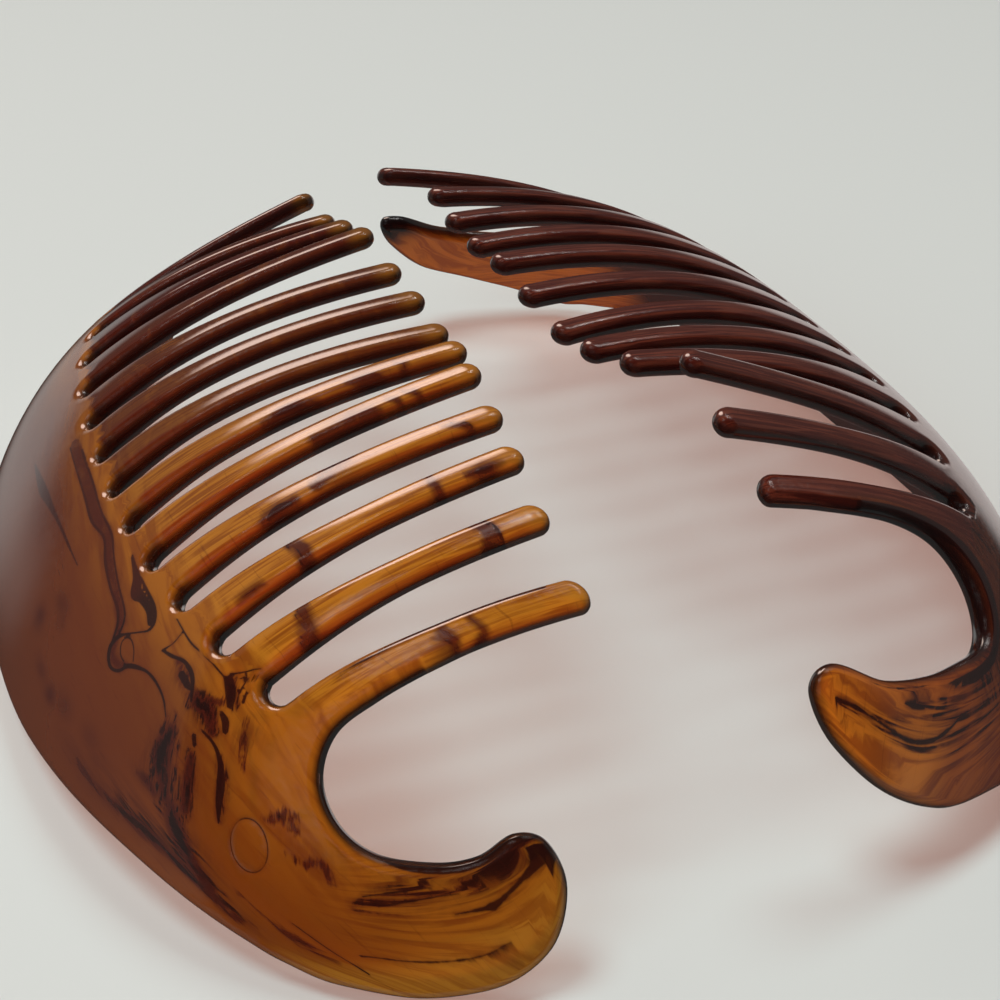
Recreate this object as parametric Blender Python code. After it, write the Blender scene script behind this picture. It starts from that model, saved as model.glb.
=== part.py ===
"""Interlocking banana hair clip: two separate one-piece comb halves that lie on a table.

Each half is a crescent shell whose wall turns in at both ends into a rounded hook,
with a row of curved teeth growing from its upper edge over the hollow.
"""
import math

import bmesh
import bpy
from mathutils import Matrix, Vector
from mathutils.geometry import delaunay_2d_cdt

MM = 0.001

# driving dimensions in millimetres, angles in degrees
PITCH = 6.3
WALL = 2.3
TOOTH_THICKNESS = 1.9
ROOT_HALF_WIDTH, TIP_HALF_WIDTH = 2.0, 1.45
NARROWING_LENGTH = 0.6

# double curve of the outer surface: a section of reach and rise, shrinking to both ends
REACH, RISE, FOOT = 73.9, 56.7, -27.5
SECTION_POWER = 3.16
PLAN_HALF_LENGTH, PLAN_POWER = 64.4, 2.62
RISE_HALF_LENGTH, RISE_POWER = 57.0, 3.53
MID_PLANE = 22.4

# section angles: range of the table, wall's change to tooth thickness, and the teeth's tips
BASE_ANGLE, TOP_ANGLE = 18.0, 84.0
WALL_ANGLE, TOOTH_ANGLE = 43.2, 52.2
TIP_ANGLE, TIP_SPREAD = 69.6, -4.5
SPREAD_LENGTH = 40.0

# roots: section angle of the gap ends at the middle, and its change at the spread length
# hooks and foot: distance from the middle, section angle
# teeth, from the near end: tip's section angle, set of the tip outwards and along the row
LEFT = {
    "root_angle": 44.4,
    "root_spread": 1.8,
    "tip_slope": 0.0,
    "near_hook": (
        (39.4, 54.1), (39.4, 50.7), (39.6, 47.4), (41.4, 44.6), (44.2, 43.2), (46.7, 43.7),
        (48.7, 46.2), (49.6, 48.9), (49.6, 51.9), (50.5, 53.5), (52.4, 52.9), (53.8, 49.4),
        (53.8, 43.6), (52.2, 37.6), (49.2, 33.6), (46.3, 32.1),
    ),
    "far_hook": (
        (39.6, 54.1), (39.5, 50.7), (39.8, 47.4), (41.4, 44.6), (44.2, 43.2), (46.2, 42.2),
        (47.6, 42.3), (48.2, 43.6), (48.3, 45.3), (49.0, 46.2), (50.2, 45.2), (50.9, 42.2),
        (50.6, 38.6), (49.4, 35.6), (47.8, 33.6), (45.8, 32.3),
    ),
    "foot": ((43.8, 31.5), (39.6, 30.9), (31.8, 30.2), (20.8, 28.9), (10.4, 27.7), (0.0, 27.3)),
    "teeth": (
        (0.0, -0.8, -0.3), (-0.3, -0.8, 1.9), (-0.6, 0.4, 1.5), (-0.7, 0.3, 1.3),
        (-0.8, 0.9, 1.2), (-0.8, 0.6, -0.3), (-0.8, -0.4, -0.9), (-0.6, -0.5, 0.2),
        (-0.5, -0.3, 0.5), (-0.5, 0.9, 1.3), (-0.6, 0.4, 0.3), (-0.5, 0.0, 0.0),
        (-0.3, 1.7, 0.9),
    ),
}
RIGHT = {
    "root_angle": 46.2,
    "root_spread": -2.1,
    "tip_slope": 2.6,
    "near_hook": (
        (36.1, 56.2), (36.3, 52.5), (37.2, 48.8), (39.4, 45.9), (42.3, 44.3), (44.4, 44.6),
        (45.9, 46.6), (47.4, 49.9), (48.1, 54.2), (47.4, 58.9), (48.8, 60.3), (51.1, 57.8),
        (52.7, 51.9), (52.7, 44.6), (50.9, 38.6), (48.7, 35.0), (46.2, 33.7),
    ),
    "far_hook": (
        (36.5, 56.2), (36.9, 52.9), (38.6, 50.1), (40.8, 48.0), (43.0, 46.8), (44.7, 46.6),
        (46.3, 47.5), (48.1, 50.5), (48.9, 55.1), (48.4, 59.8), (49.1, 61.6), (51.1, 58.7),
        (52.4, 52.8), (51.7, 45.4), (50.0, 38.9), (48.3, 35.4), (46.2, 34.1),
    ),
    "foot": ((43.8, 33.0), (39.6, 31.8), (31.8, 29.6), (20.8, 27.8), (10.4, 26.9), (0.0, 26.6)),
    "teeth": (
        (-1.7, -0.7, 1.5), (0.2, 2.3, -0.8), (-0.8, 3.2, 0.0), (-0.3, -0.3, 0.0),
        (-0.1, -1.6, -1.1), (-0.5, -2.5, -1.7), (-0.4, -1.6, -1.6), (-0.7, -1.4, -0.6),
        (-0.7, -1.8, -1.1), (-0.7, -1.3, -1.2), (-1.2, -0.4, -0.4), (1.0, 0.6, 1.0),
    ),
}

# the right half is mirrored, then turned and shifted
RIGHT_TURN = 2.0
RIGHT_SHIFT = (-2.4, 0.7, 2.1)

# rest of both halves on the table: tilt about X and Y, then a shift
TABLE_TILT_X, TABLE_TILT_Y = -1.1, 1.4
TABLE_SHIFT = (0.99, 0.12, 0.1)

# mesh steps: along a tooth's side, round a tip and a gap's end, between hook points
STATIONS = 11
TIP_STEPS = 8
GAP_STEPS = 5
HOOK_STEPS = 3
HOOK_CLEARANCE = 3.2
FILL_STEP = 4.1
FILL_END = 51.2
FILL_MARGIN = 1.2

# rim section from the outer skin to the inner one: inset, and part of the thickness
RIM = ((0.5, 0.0), (0.0, 0.28), (0.0, 0.72), (0.5, 1.0))


def shell_point(y, angle):
    """Outer surface of the left half at a distance along the clip and a section angle."""
    plan = (1.0 - abs(y / PLAN_HALF_LENGTH) ** PLAN_POWER) ** (1.0 / PLAN_POWER)
    rise = (1.0 - abs(y / RISE_HALF_LENGTH) ** RISE_POWER) ** (1.0 / RISE_POWER)
    c = math.cos(math.radians(angle))
    s = math.sin(math.radians(angle))
    radius = (c ** SECTION_POWER + s ** SECTION_POWER) ** (-1.0 / SECTION_POWER)
    x = MID_PLANE - REACH * plan * c * radius
    z = FOOT + RISE * rise * s * radius
    return Vector((x, y, z))


def shell_normal(y, angle):
    """Outward unit normal of the shell's outer surface."""
    along = shell_point(y + 0.01, angle) - shell_point(y - 0.01, angle)
    up = shell_point(y, angle + 0.01) - shell_point(y, angle - 0.01)
    return along.cross(up).normalized() * -1.0


def section_table():
    """Arc length up the middle section at every half degree from the base angle."""
    table = [(0.0, BASE_ANGLE)]
    angle = BASE_ANGLE
    last = shell_point(0.0, angle)
    while angle < TOP_ANGLE:
        angle += 0.5
        point = shell_point(0.0, angle)
        table.append((table[-1][0] + (point - last).length, angle))
        last = point
    return table


SECTION = section_table()


def lookup(value, column):
    """Interpolate the section table: column 0 finds an angle, column 1 an arc length."""
    other = 1 - column
    for low, high in zip(SECTION, SECTION[1:]):
        if low[column] <= value <= high[column]:
            part = (value - low[column]) / (high[column] - low[column])
            return low[other] + part * (high[other] - low[other])
    return SECTION[0][other] if value < SECTION[0][column] else SECTION[-1][other]


def arc_at(angle):
    return lookup(angle, 1)


def angle_at(arc):
    return lookup(arc, 0)


def spread(base, change, y):
    return base + change * (y / SPREAD_LENGTH) ** 2


def smooth_step(low, high, value):
    t = min(max((value - low) / (high - low), 0.0), 1.0)
    return t * t * (3.0 - 2.0 * t)


def curve_through(points, steps):
    """Smooth curve through flat points, without its last point."""
    first = [2 * a - b for a, b in zip(points[0], points[1])]
    last = [2 * a - b for a, b in zip(points[-1], points[-2])]
    chain = [first] + [list(p) for p in points] + [last]
    result = []
    for i in range(1, len(chain) - 2):
        a, b, c, d = chain[i - 1:i + 3]
        for j in range(steps):
            t = j / steps
            result.append([
                0.5 * (2 * q + (r - p) * t + (2 * p - 5 * q + 4 * r - s) * t * t
                       + (3 * q - p - 3 * r + s) * t ** 3)
                for p, q, r, s in zip(a, b, c, d)
            ])
    return result


def hook_edge(half, side):
    """Edge of one end in flat coordinates, from the end tooth to the middle of the foot."""
    hook = half["near_hook"] if side < 0 else half["far_hook"]
    points = [(side * y, arc_at(angle)) for y, angle in hook + half["foot"]]
    beyond_y, beyond_angle = half["foot"][-2]
    points.append((-side * beyond_y, arc_at(beyond_angle)))
    curve = curve_through(points, HOOK_STEPS)[:-HOOK_STEPS]
    return [(y, arc, -1, 0.0) for y, arc in curve]


def root_arc(half, y):
    return arc_at(spread(half["root_angle"], half["root_spread"], y))


def tooth_edge(half, index, y):
    """Both sides of one tooth and its round tip, up the near side and down the far one."""
    low = root_arc(half, y) + PITCH / 2 - ROOT_HALF_WIDTH
    slope = half["tip_slope"] * y / SPREAD_LENGTH
    tip_angle = spread(TIP_ANGLE, TIP_SPREAD, y) + slope + half["teeth"][index][0]
    high = arc_at(tip_angle) - TIP_HALF_WIDTH
    up, tip, down = [], [], []
    for i in range(STATIONS):
        part = i / (STATIONS - 1)
        arc = low + (high - low) * part
        narrowing = smooth_step(0.0, NARROWING_LENGTH, part)
        half_width = ROOT_HALF_WIDTH + (TIP_HALF_WIDTH - ROOT_HALF_WIDTH) * narrowing
        up.append((y - half_width, arc, index, part))
        down.insert(0, (y + half_width, arc, index, part))
    for i in range(1, TIP_STEPS):
        turn = math.pi * i / TIP_STEPS
        across = y - TIP_HALF_WIDTH * math.cos(turn)
        tip.append((across, high + TIP_HALF_WIDTH * math.sin(turn), index, 1.0))
    return up, tip, down


def gap_edge(half, y):
    """Round end of the gap centred at y, from its near side to its far side."""
    radius = PITCH / 2 - ROOT_HALF_WIDTH
    points = []
    for i in range(1, GAP_STEPS):
        turn = math.pi * i / GAP_STEPS
        arc = root_arc(half, y) + radius * (1.0 - math.sin(turn))
        points.append((y - radius * math.cos(turn), arc, -1, 0.0))
    return points


def half_edge(half):
    """Closed outline of one half: flat place, tooth index or -1, and part of its length."""
    count = len(half["teeth"])
    row = [(k - (count - 1) / 2) * PITCH for k in range(count)]
    near = hook_edge(half, -1)
    far = hook_edge(half, 1)
    start = near[0][1] + HOOK_CLEARANCE
    middle_y, middle_angle = half["foot"][-1]
    outline = [(middle_y, arc_at(middle_angle), -1, 0.0)] + near[::-1]
    for k, y in enumerate(row):
        up, tip, down = tooth_edge(half, k, y)
        if k == 0:
            up = [entry for entry in up if entry[1] > start]
        if k == count - 1:
            down = [entry for entry in down if entry[1] > start]
        outline += up + tip + down
        if k < count - 1:
            outline += gap_edge(half, y + PITCH / 2)
    outline += far
    return outline[::-1], row


def inside(point, outline, margin):
    """True where a flat point lies in the outline and clear of its edge."""
    x, y = point
    crossing = False
    count = len(outline)
    for i in range(count):
        ax, ay = outline[i][0], outline[i][1]
        bx, by = outline[(i + 1) % count][0], outline[(i + 1) % count][1]
        if (ay > y) != (by > y) and x < ax + (y - ay) / (by - ay) * (bx - ax):
            crossing = not crossing
        dx, dy = bx - ax, by - ay
        t = max(0.0, min(1.0, ((x - ax) * dx + (y - ay) * dy) / (dx * dx + dy * dy)))
        if math.hypot(x - ax - t * dx, y - ay - t * dy) < margin:
            return False
    return crossing


def thickness(arc):
    """Wall thickness, easing from the body down to the teeth."""
    share = smooth_step(arc_at(WALL_ANGLE), arc_at(TOOTH_ANGLE), arc)
    return WALL + (TOOTH_THICKNESS - WALL) * share


def crossings(outline, y):
    """Arc positions where the outline crosses one line across the clip, lowest first."""
    arcs = []
    for i, (bx, by, *_) in enumerate(outline):
        ax, ay = outline[i - 1][0], outline[i - 1][1]
        if (ax > y) != (bx > y):
            arcs.append(ay + (y - ax) / (bx - ax) * (by - ay))
    return sorted(arcs)


def fill_points(half, outline):
    """Flat points in columns from the foot edge up, so the skins follow the double curve."""
    points = []
    columns = int(2 * FILL_END / FILL_STEP)
    for i in range(columns + 1):
        y = FILL_END * (2 * i / columns - 1)
        across = crossings(outline, y)
        if not across:
            continue
        low, high = across[0], min(across[1], root_arc(half, y))
        rows = max(2, round((high - low) / FILL_STEP) + 1)
        for j in range(1, rows):
            arc = low + (high - low) * j / rows
            if inside((y, arc), outline, FILL_MARGIN):
                points.append(Vector((y, arc)))
    return points


def skin_faces(outline, fill):
    """Triangles of the flat outline with its fill points."""
    flat = [Vector((p[0], p[1])) for p in outline] + fill
    count = len(outline)
    ring = [(i, (i + 1) % count) for i in range(count)]
    result = delaunay_2d_cdt(flat, ring, [], 0, 1e-6, True)
    assert len(result[0]) == len(flat), "the flat outline crosses itself"
    faces = []
    for face in result[2]:
        corners = [result[3][v][0] for v in face]
        centre = sum((flat[v] for v in corners), Vector((0.0, 0.0))) / 3
        if inside(centre, outline, 0.01):
            faces.append(corners)
    return faces


def edge_point(entry, row, teeth):
    """Outer surface point and normal of one outline entry, with its tooth's set."""
    y, arc, tooth, part = entry
    angle = angle_at(arc)
    point = shell_point(y, angle)
    if tooth >= 0:
        _, lift, shift = teeth[tooth]
        point += shell_normal(row[tooth], angle) * (lift * part ** 2)
        point.y += shift * part ** 2
    return point, shell_normal(y, angle)


def half_mesh(name, half, place):
    """One comb half as a closed mesh: two skins joined by a chamfered rim."""
    outline, row = half_edge(half)
    count = len(outline)
    fill = fill_points(half, outline)
    edge = [edge_point(entry, row, half["teeth"]) for entry in outline]

    vertices = []
    for inset, depth in RIM:
        for i, (point, normal) in enumerate(edge):
            tangent = edge[(i + 1) % count][0] - edge[i - 1][0]
            inward = tangent.cross(normal).normalized()
            drop = thickness(outline[i][1]) * depth
            vertices.append(point + inward * inset - normal * drop)
    upper = len(vertices) - count
    for depth in (0.0, 1.0):
        for point in fill:
            angle = angle_at(point.y)
            drop = shell_normal(point.x, angle) * (thickness(point.y) * depth)
            vertices.append(shell_point(point.x, angle) - drop)

    rings = len(RIM) - 1
    polygons = []
    for face in skin_faces(outline, fill):
        polygons.append([v if v < count else v + upper for v in face])
        lower = [v + rings * count if v < count else v + upper + len(fill) for v in face]
        polygons.append(lower[::-1])
    for ring in range(rings):
        for i in range(count):
            a = ring * count + i
            b = ring * count + (i + 1) % count
            polygons.append([b, a, a + count, b + count])

    mesh = bpy.data.meshes.new(name)
    mesh.from_pydata([place(v) * MM for v in vertices], [], polygons)
    work = bmesh.new()
    work.from_mesh(mesh)
    bmesh.ops.recalc_face_normals(work, faces=work.faces)
    work.to_mesh(mesh)
    work.free()
    return mesh


def rest_on_table(point):
    """Tilt a point with both halves so that they rest on the table."""
    tilt = Matrix.Rotation(math.radians(TABLE_TILT_X), 3, "X")
    tilt = tilt @ Matrix.Rotation(math.radians(TABLE_TILT_Y), 3, "Y")
    return tilt @ point + Vector(TABLE_SHIFT)


def place_left(point):
    return rest_on_table(point)


def place_right(point):
    """Mirror a point of the left form, then turn and shift it into the right half's pose."""
    mirrored = Vector((-point.x, point.y, point.z))
    turned = Matrix.Rotation(math.radians(RIGHT_TURN), 3, "Z") @ mirrored
    return rest_on_table(turned + Vector(RIGHT_SHIFT))


def plastic(name, colour):
    material = bpy.data.materials.new(name)
    material.use_nodes = True
    shader = material.node_tree.nodes["Principled BSDF"]
    shader.inputs["Base Color"].default_value = (*colour, 1.0)
    shader.inputs["Roughness"].default_value = 0.12
    return material


def add_half(name, colour, mesh):
    half = bpy.data.objects.new(name, mesh)
    bpy.context.scene.collection.objects.link(half)
    mesh.materials.append(plastic(name, colour))
    for polygon in mesh.polygons:
        polygon.use_smooth = True
    return half


for old in list(bpy.data.objects):
    bpy.data.objects.remove(old, do_unlink=True)

add_half("left_comb", (0.30, 0.10, 0.025), half_mesh("left_comb", LEFT, place_left))
add_half("right_comb", (0.18, 0.05, 0.02), half_mesh("right_comb", RIGHT, place_right))
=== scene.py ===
import math

import bpy
import numpy as np
from mathutils import Matrix, Vector
from mathutils.geometry import delaunay_2d_cdt


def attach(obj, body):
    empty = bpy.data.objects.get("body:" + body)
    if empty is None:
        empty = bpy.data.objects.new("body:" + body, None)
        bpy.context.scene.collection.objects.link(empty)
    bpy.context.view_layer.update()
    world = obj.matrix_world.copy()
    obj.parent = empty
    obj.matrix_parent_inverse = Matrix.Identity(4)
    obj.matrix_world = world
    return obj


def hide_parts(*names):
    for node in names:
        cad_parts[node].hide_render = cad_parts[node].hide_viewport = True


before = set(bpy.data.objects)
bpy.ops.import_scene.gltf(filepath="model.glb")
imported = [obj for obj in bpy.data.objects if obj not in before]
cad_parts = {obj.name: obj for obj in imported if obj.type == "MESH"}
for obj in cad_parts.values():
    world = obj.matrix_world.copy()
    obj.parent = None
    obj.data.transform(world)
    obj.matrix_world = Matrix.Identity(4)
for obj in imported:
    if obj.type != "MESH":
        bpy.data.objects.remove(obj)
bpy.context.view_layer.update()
mm = 0.001
print("stage: frame loaded")

# the double curve that both comb halves share, in millimetres and degrees
shell = {
    "reach": 73.9, "rise": 56.7, "foot": -27.5, "sectionPower": 3.16,
    "planHalf": 64.4, "planPower": 2.62, "riseHalf": 57.0, "risePower": 3.53,
    "middle": 22.4,
    "pitch": 6.3, "wall": 2.3, "toothThickness": 1.9,
    "rootHalf": 2.0, "tipHalf": 1.45,          # half widths of a tooth
    "narrowedBy": 0.6,                         # part of a tooth over which it narrows
    "wallAngle": 43.2, "toothAngle": 52.2,     # where wall thins to tooth thickness
    "tipAngle": 69.6, "tipSpread": -4.5, "spreadLength": 40.0,
    "wallRounding": 1.0, "toothRounding": 0.95, "flatInward": 1.0,
    "tilt": (-1.1, 1.4), "shift": (0.99, 0.12, 0.1),   # rest of both halves on the table
    "angles": (14.0, 86.01, 0.25), "zeroAngle": 18.0,  # section angles in use, and where the arc is 0
    "slopeStep": 0.01,
}

# how finely the moulding is meshed
meshing = {
    "stations": 84, "tipSteps": 16, "gapSteps": 10, "hookSteps": 9,
    "rimSteps": 10, "clearance": 3.2, "fillStep": 0.7, "fillMargin": 1.15,
    "fineStep": 0.3, "strokeStep": 0.25,    # round the swirls and along their lines
    "toothFrom": 2.0, "toothEnd": 1.2, "toothStep": 0.4,   # points up the middle of a tooth
    "markClear": 0.35, "markTurns": 60,      # round the ring of the mould
    "area": (-54.0, 54.0, 0.0, 68.0),        # where the coarse points lie
    "atOnce": 400,                           # points measured at a time
    "rootShare": 0.02, "toothSlack": 0.02, "sliver": 0.004, "merge": 1e-6,
}

# dark figure in the plastic, in flat millimetres: distance from the middle, arc up the shell
# swirls: strokes of each kind, as points along the stroke with their half width; a few line strokes are
# painted shade along rims and edges
# clouds: place, reach along and up, strength
# tooth shades: how dark each tooth is, from the near end
# spine: the line that the melt followed round a hook and along the body
# fine boxes: where the mesh is finer, as lowest and highest place, lowest and highest arc
leftFigure = {
    "swirls": {
        "line": [
            [(-29.8, 25.2, 0.04), (-28.5, 26.0, 0.1), (-27.0, 26.35, 0.12), (-25.5, 26.3, 0.14),
             (-24.2, 25.8, 0.2), (-23.2, 25.1, 0.2), (-22.9, 24.4, 0.14), (-22.2, 23.9, 0.12),
             (-21.4, 23.85, 0.14), (-20.5, 24.3, 0.18), (-20.0, 25.0, 0.2), (-20.1, 25.9, 0.2),
             (-20.7, 26.7, 0.1), (-21.6, 27.6, 0.08), (-22.3, 28.4, 0.12), (-22.1, 29.1, 0.2),
             (-21.2, 29.7, 0.2), (-20.0, 30.0, 0.15), (-17.5, 30.15, 0.12), (-13.6, 30.5, 0.08)],
            [(-20.1, 25.6, 0.1), (-19.4, 26.9, 0.12), (-18.2, 27.6, 0.1), (-15.2, 28.2, 0.1),
             (-12.0, 28.9, 0.1), (-9.0, 29.6, 0.12), (-5.0, 29.5, 0.1), (0.0, 29.7, 0.12),
             (6.0, 29.7, 0.1)],
            [(-20.0, 25.0, 0.1), (-18.9, 26.4, 0.14), (-17.4, 27.1, 0.16), (-14.8, 27.4, 0.12),
             (-11.6, 28.0, 0.16), (-8.6, 28.8, 0.14), (-5.0, 28.3, 0.14), (0.0, 28.5, 0.1),
             (8.0, 28.6, 0.08)],
            [(-21.8, 28.9, 0.3), (-20.6, 29.4, 0.35), (-19.0, 29.4, 0.4), (-17.8, 29.2, 0.6),
             (-16.2, 29.9, 0.35), (-13.7, 30.4, 0.1)],
            [(-23.4, 25.8, 0.05), (-22.6, 26.4, 0.06), (-21.6, 26.7, 0.06), (-20.9, 26.4, 0.06),
             (-20.9, 25.8, 0.06), (-21.7, 25.2, 0.05), (-22.7, 25.1, 0.05)],
            [(-30.6, 27.7, 0.1), (-29.6, 28.7, 0.2), (-28.6, 29.25, 0.22), (-27.4, 29.3, 0.16),
             (-26.2, 28.8, 0.16), (-25.0, 28.4, 0.08)],
            [(-29.4, 28.3, 0.3), (-28.2, 28.5, 0.35)],
            [(-25.0, 28.4, 0.06), (-25.3, 29.5, 0.05), (-25.1, 30.7, 0.04)],
            [(-31.0, 31.1, 0.08), (-28.5, 31.0, 0.07), (-26.6, 30.7, 0.08), (-23.6, 30.9, 0.05)],
            [(-33.8, 30.9, 0.12), (-33.1, 32.3, 0.08), (-32.6, 33.7, 0.06), (-32.0, 32.7, 0.07),
             (-31.3, 31.6, 0.1)],
            [(-33.0, 31.2, 0.08), (-32.5, 32.5, 0.06), (-32.1, 31.9, 0.06)],
            [(-33.3, 29.9, 0.25), (-32.6, 30.6, 0.45), (-31.6, 31.2, 0.4)],
            [(-34.5, 28.2, 0.25), (-33.9, 28.8, 0.3), (-33.1, 29.0, 0.15)],
            [(-38.5, 22.3, 0.08), (-37.6, 23.7, 0.3), (-36.7, 25.2, 0.34), (-35.6, 26.3, 0.2),
             (-34.4, 26.8, 0.12), (-33.0, 26.8, 0.1)],
            [(-33.4, 25.5, 0.2), (-32.8, 26.0, 0.22)],
            [(-50.9, 43.0, 0.3), (-51.0, 41.0, 0.2), (-51.25, 38.6, 0.1), (-51.4, 36.6, 0.12),
             (-51.45, 35.0, 0.17), (-51.2, 33.4, 0.08), (-50.8, 31.4, 0.03)],
            # painted shade: the dark shadowed inner rim of the near hook, down towards the body
            [(-50.1, 41.8, 0.25), (-50.0, 39.0, 0.32), (-49.8, 36.0, 0.38), (-49.1, 33.2, 0.32),
             (-47.9, 30.9, 0.2), (-46.4, 29.6, 0.1)],
            [(-50.3, 33.2, 0.03), (-49.4, 29.8, 0.06), (-48.4, 26.6, 0.03)],
            [(-49.4, 31.6, 0.03), (-48.5, 28.8, 0.05), (-47.6, 26.4, 0.03)],
            [(-52.8, 34.2, 0.03), (-52.6, 31.0, 0.05), (-51.9, 27.6, 0.05), (-50.8, 24.6, 0.04),
             (-49.2, 21.8, 0.03)],
            [(-50.0, 21.0, 0.02), (-48.0, 20.3, 0.05), (-45.6, 19.9, 0.02)],
            [(-39.0, 46.2, 0.15), (-38.2, 46.9, 0.35)],
            [(-32.9, 56.4, 0.2), (-31.6, 56.6, 0.2), (-30.5, 56.0, 0.2)],
            [(-33.2, 37.3, 0.12), (-31.8, 38.2, 0.1), (-30.4, 39.0, 0.12)],
            [(-26.1, 59.4, 0.1), (-26.0, 58.5, 0.3), (-25.9, 57.6, 0.1)],
            [(-26.8, 41.5, 0.12), (-25.4, 42.0, 0.15), (-24.2, 41.6, 0.15)],
            [(-20.2, 60.4, 0.1), (-19.5, 59.9, 0.12), (-18.9, 58.8, 0.1)],
            [(-18.9, 46.8, 0.2), (-18.2, 48.4, 0.3)],
            [(-19.9, 43.8, 0.2), (-19.8, 42.6, 0.4), (-20.3, 41.4, 0.1)],
            [(-7.7, 49.6, 0.12), (-7.3, 48.0, 0.3), (-7.4, 46.8, 0.1)],
            [(-8.4, 25.4, 0.05), (-2.0, 25.1, 0.15), (3.0, 24.7, 0.3), (6.5, 24.3, 0.5),
             (12.0, 24.0, 0.1)],
            # painted shade: dark lines along the far edges of the first two teeth
            [(-36.75, 38.0, 0.1), (-36.65, 46.0, 0.2), (-36.7, 57.0, 0.25)],
            [(-30.3, 52.0, 0.1), (-30.2, 58.2, 0.22)],
        ],
        "ragged": [
            [(-33.8, 27.3, 0.35), (-32.2, 28.3, 0.7), (-31.2, 28.0, 0.6), (-30.4, 28.6, 0.2)],
            [(-32.6, 29.6, 0.3), (-31.6, 28.7, 0.4)],
            [(-37.4, 27.2, 0.1), (-36.3, 28.6, 0.35), (-35.5, 29.6, 0.2), (-35.0, 30.4, 0.05)],
            [(-31.0, 24.8, 0.5), (-31.5, 22.8, 0.95), (-32.8, 21.6, 0.6), (-34.0, 20.4, 0.4)],
            [(-33.8, 24.6, 0.3), (-35.0, 22.6, 0.45), (-35.8, 21.0, 0.4)],
            [(-33.0, 19.9, 0.2), (-31.8, 20.2, 0.4), (-30.6, 20.0, 0.15)],
            [(-34.6, 20.4, 0.4), (-35.8, 19.3, 0.7), (-38.0, 18.0, 0.6), (-40.4, 17.2, 0.4)],
            [(-44.0, 17.1, 0.12), (-42.0, 16.7, 0.3), (-39.5, 16.8, 0.4), (-34.0, 16.9, 0.55),
             (-29.0, 16.0, 0.35), (-24.0, 15.7, 0.2)],
            [(-48.6, 19.8, 0.12), (-46.6, 19.0, 0.3), (-45.2, 18.7, 0.25), (-41.8, 18.6, 0.08)],
            [(-45.9, 25.4, 0.3), (-45.0, 26.0, 0.35), (-44.2, 24.8, 0.25), (-43.3, 24.6, 0.3)],
            [(-42.5, 26.6, 0.4), (-42.0, 27.7, 0.2), (-41.4, 26.3, 0.4), (-40.9, 25.4, 0.1)],
        ],
        "band": [
            [(-50.6, 36.0, 0.1), (-50.2, 33.0, 0.5), (-49.3, 30.0, 0.7), (-48.3, 27.2, 0.6),
             (-47.6, 25.0, 0.2)],
            [(-50.4, 43.0, 0.4), (-50.7, 39.6, 0.5), (-50.4, 36.4, 0.3)],
            [(-20.2, 25.3, 0.35), (-19.0, 26.7, 0.45), (-17.0, 27.4, 0.4), (-14.8, 27.8, 0.4),
             (-11.8, 28.4, 0.5), (-8.8, 29.2, 0.5), (-5.0, 28.9, 0.6), (0.0, 29.1, 0.6),
             (8.0, 29.2, 0.5)],
            [(-23.0, 25.0, 0.25), (-22.2, 24.5, 0.3), (-21.0, 24.5, 0.3), (-20.4, 25.1, 0.3)],
            [(-30.6, 27.4, 0.4), (-29.0, 28.6, 0.45), (-27.0, 28.9, 0.3)],
            [(-30.2, 25.6, 0.5), (-31.6, 23.5, 1.2), (-33.2, 21.2, 1.3), (-35.6, 19.3, 1.1),
             (-39.0, 17.5, 0.8), (-43.0, 16.8, 0.3)],
            [(-33.8, 27.4, 0.5), (-31.8, 28.4, 0.9), (-30.2, 28.0, 0.5)],
            [(-33.6, 24.8, 0.4), (-35.2, 22.4, 0.6), (-36.0, 20.4, 0.6)],
            [(-38.4, 22.6, 0.15), (-37.0, 25.0, 0.5), (-35.6, 26.4, 0.25)],
            [(-33.4, 30.2, 0.5), (-31.8, 31.4, 0.5)],
            [(-39.4, 46.0, 0.5), (-38.4, 46.9, 0.8), (-37.4, 47.6, 0.45)],
            [(-39.4, 48.8, 0.25), (-38.6, 49.9, 0.35), (-37.2, 50.1, 0.25)],
            [(-33.0, 55.4, 0.8), (-31.5, 56.0, 0.7), (-30.2, 55.2, 0.6)],
            [(-33.2, 38.0, 0.7), (-31.8, 38.9, 0.6), (-30.3, 39.6, 0.5)],
            [(-26.0, 60.2, 0.2), (-26.0, 58.7, 0.7), (-25.9, 57.2, 0.3)],
            [(-26.7, 54.3, 0.4), (-24.0, 54.4, 0.35)],
            [(-26.9, 41.9, 0.6), (-25.4, 42.4, 0.6), (-24.1, 42.0, 0.6)],
            [(-26.3, 38.2, 0.1), (-26.2, 37.0, 0.3), (-26.4, 35.6, 0.05)],
            [(-20.2, 60.2, 0.2), (-19.4, 59.4, 0.35), (-19.0, 58.2, 0.2)],
            [(-19.4, 46.4, 0.6), (-18.4, 48.4, 0.8), (-17.9, 50.2, 0.3)],
            [(-19.9, 44.2, 0.4), (-19.8, 42.6, 0.7), (-20.3, 41.0, 0.3)],
            [(-13.8, 58.1, 0.2), (-13.2, 57.7, 0.35), (-12.8, 57.0, 0.2)],
            [(-13.8, 56.3, 0.2), (-13.2, 56.0, 0.35), (-12.9, 55.4, 0.2)],
            [(-13.7, 54.2, 0.4), (-13.3, 52.2, 0.8), (-13.7, 50.0, 0.4), (-13.6, 48.4, 0.4)],
            [(-7.6, 58.4, 0.2), (-7.0, 58.7, 0.25), (-6.6, 58.0, 0.2)],
            [(-7.7, 56.4, 0.3), (-7.3, 55.2, 0.7), (-7.0, 53.6, 0.3)],
            [(-7.8, 50.4, 0.3), (-7.3, 48.2, 0.6), (-7.6, 45.6, 0.3)],
        ],
    },
    "clouds": [
        (-24.4, 18.4, 1.8, 1.0, 0.45), (-26.8, 17.6, 2.2, 0.9, 0.45), (-19.0, 17.8, 1.8, 1.0, 0.6),
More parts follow.
